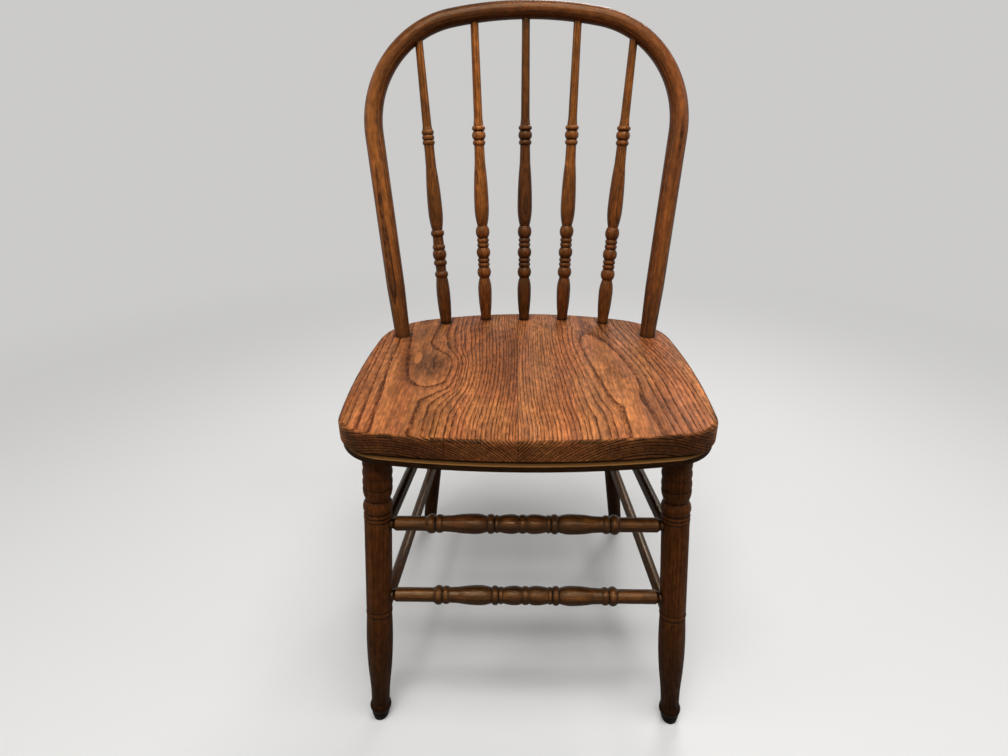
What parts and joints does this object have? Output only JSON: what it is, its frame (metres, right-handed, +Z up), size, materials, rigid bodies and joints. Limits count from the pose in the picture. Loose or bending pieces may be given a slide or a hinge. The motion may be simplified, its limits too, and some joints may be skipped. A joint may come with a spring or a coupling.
{
  "type": "spindle back chair",
  "caption": "Wooden kitchen chair with a boarded seat, turned legs and rungs, and a bent bow back filled with turned spindles.",
  "frame": {"origin": "on the floor below the middle of the chair's overall box", "axes": "+Z up, -Y the way the sitter faces, +X to the right of someone who looks at the chair's front"},
  "size_m": [0.4492, 0.4286, 0.8833],
  "materials": {
    "leg_wood": "dark satin varnish, worn at the feet",
    "rung_wood": "golden brown satin varnish",
    "spindle_wood": "golden brown satin varnish",
    "bow_wood": "orange brown satin varnish",
    "seat_wood": "worn satin varnish over open grain",
    "cleat_wood": "dark stained, worn at its upper edge",
    "screw_steel": "dull grey"
  },
  "bodies": {
    "root": {"back_spindle_1": "spindle_wood", "back_spindle_2": "spindle_wood", "back_spindle_3": "spindle_wood", "back_spindle_4": "spindle_wood", "back_spindle_5": "spindle_wood", "bow": "bow_wood", "bow_tenon_wedges": "bow_wood", "cleat_screws": "screw_steel", "front_cleat": "cleat_wood", "front_leg_left": "leg_wood", "front_leg_right": "leg_wood", "front_stretcher_lower": "rung_wood", "front_stretcher_upper": "rung_wood", "rear_cleat": "cleat_wood", "rear_leg_left": "leg_wood", "rear_leg_right": "leg_wood", "rear_stretcher": "rung_wood", "seat_board_left": "seat_wood", "seat_board_middle": "seat_wood", "seat_board_right": "seat_wood", "seat_joint_dowels": "seat_wood", "side_stretcher_left_lower": "rung_wood", "side_stretcher_left_upper": "rung_wood", "side_stretcher_right_lower": "rung_wood", "side_stretcher_right_upper": "rung_wood"}
  },
  "joints": []
}
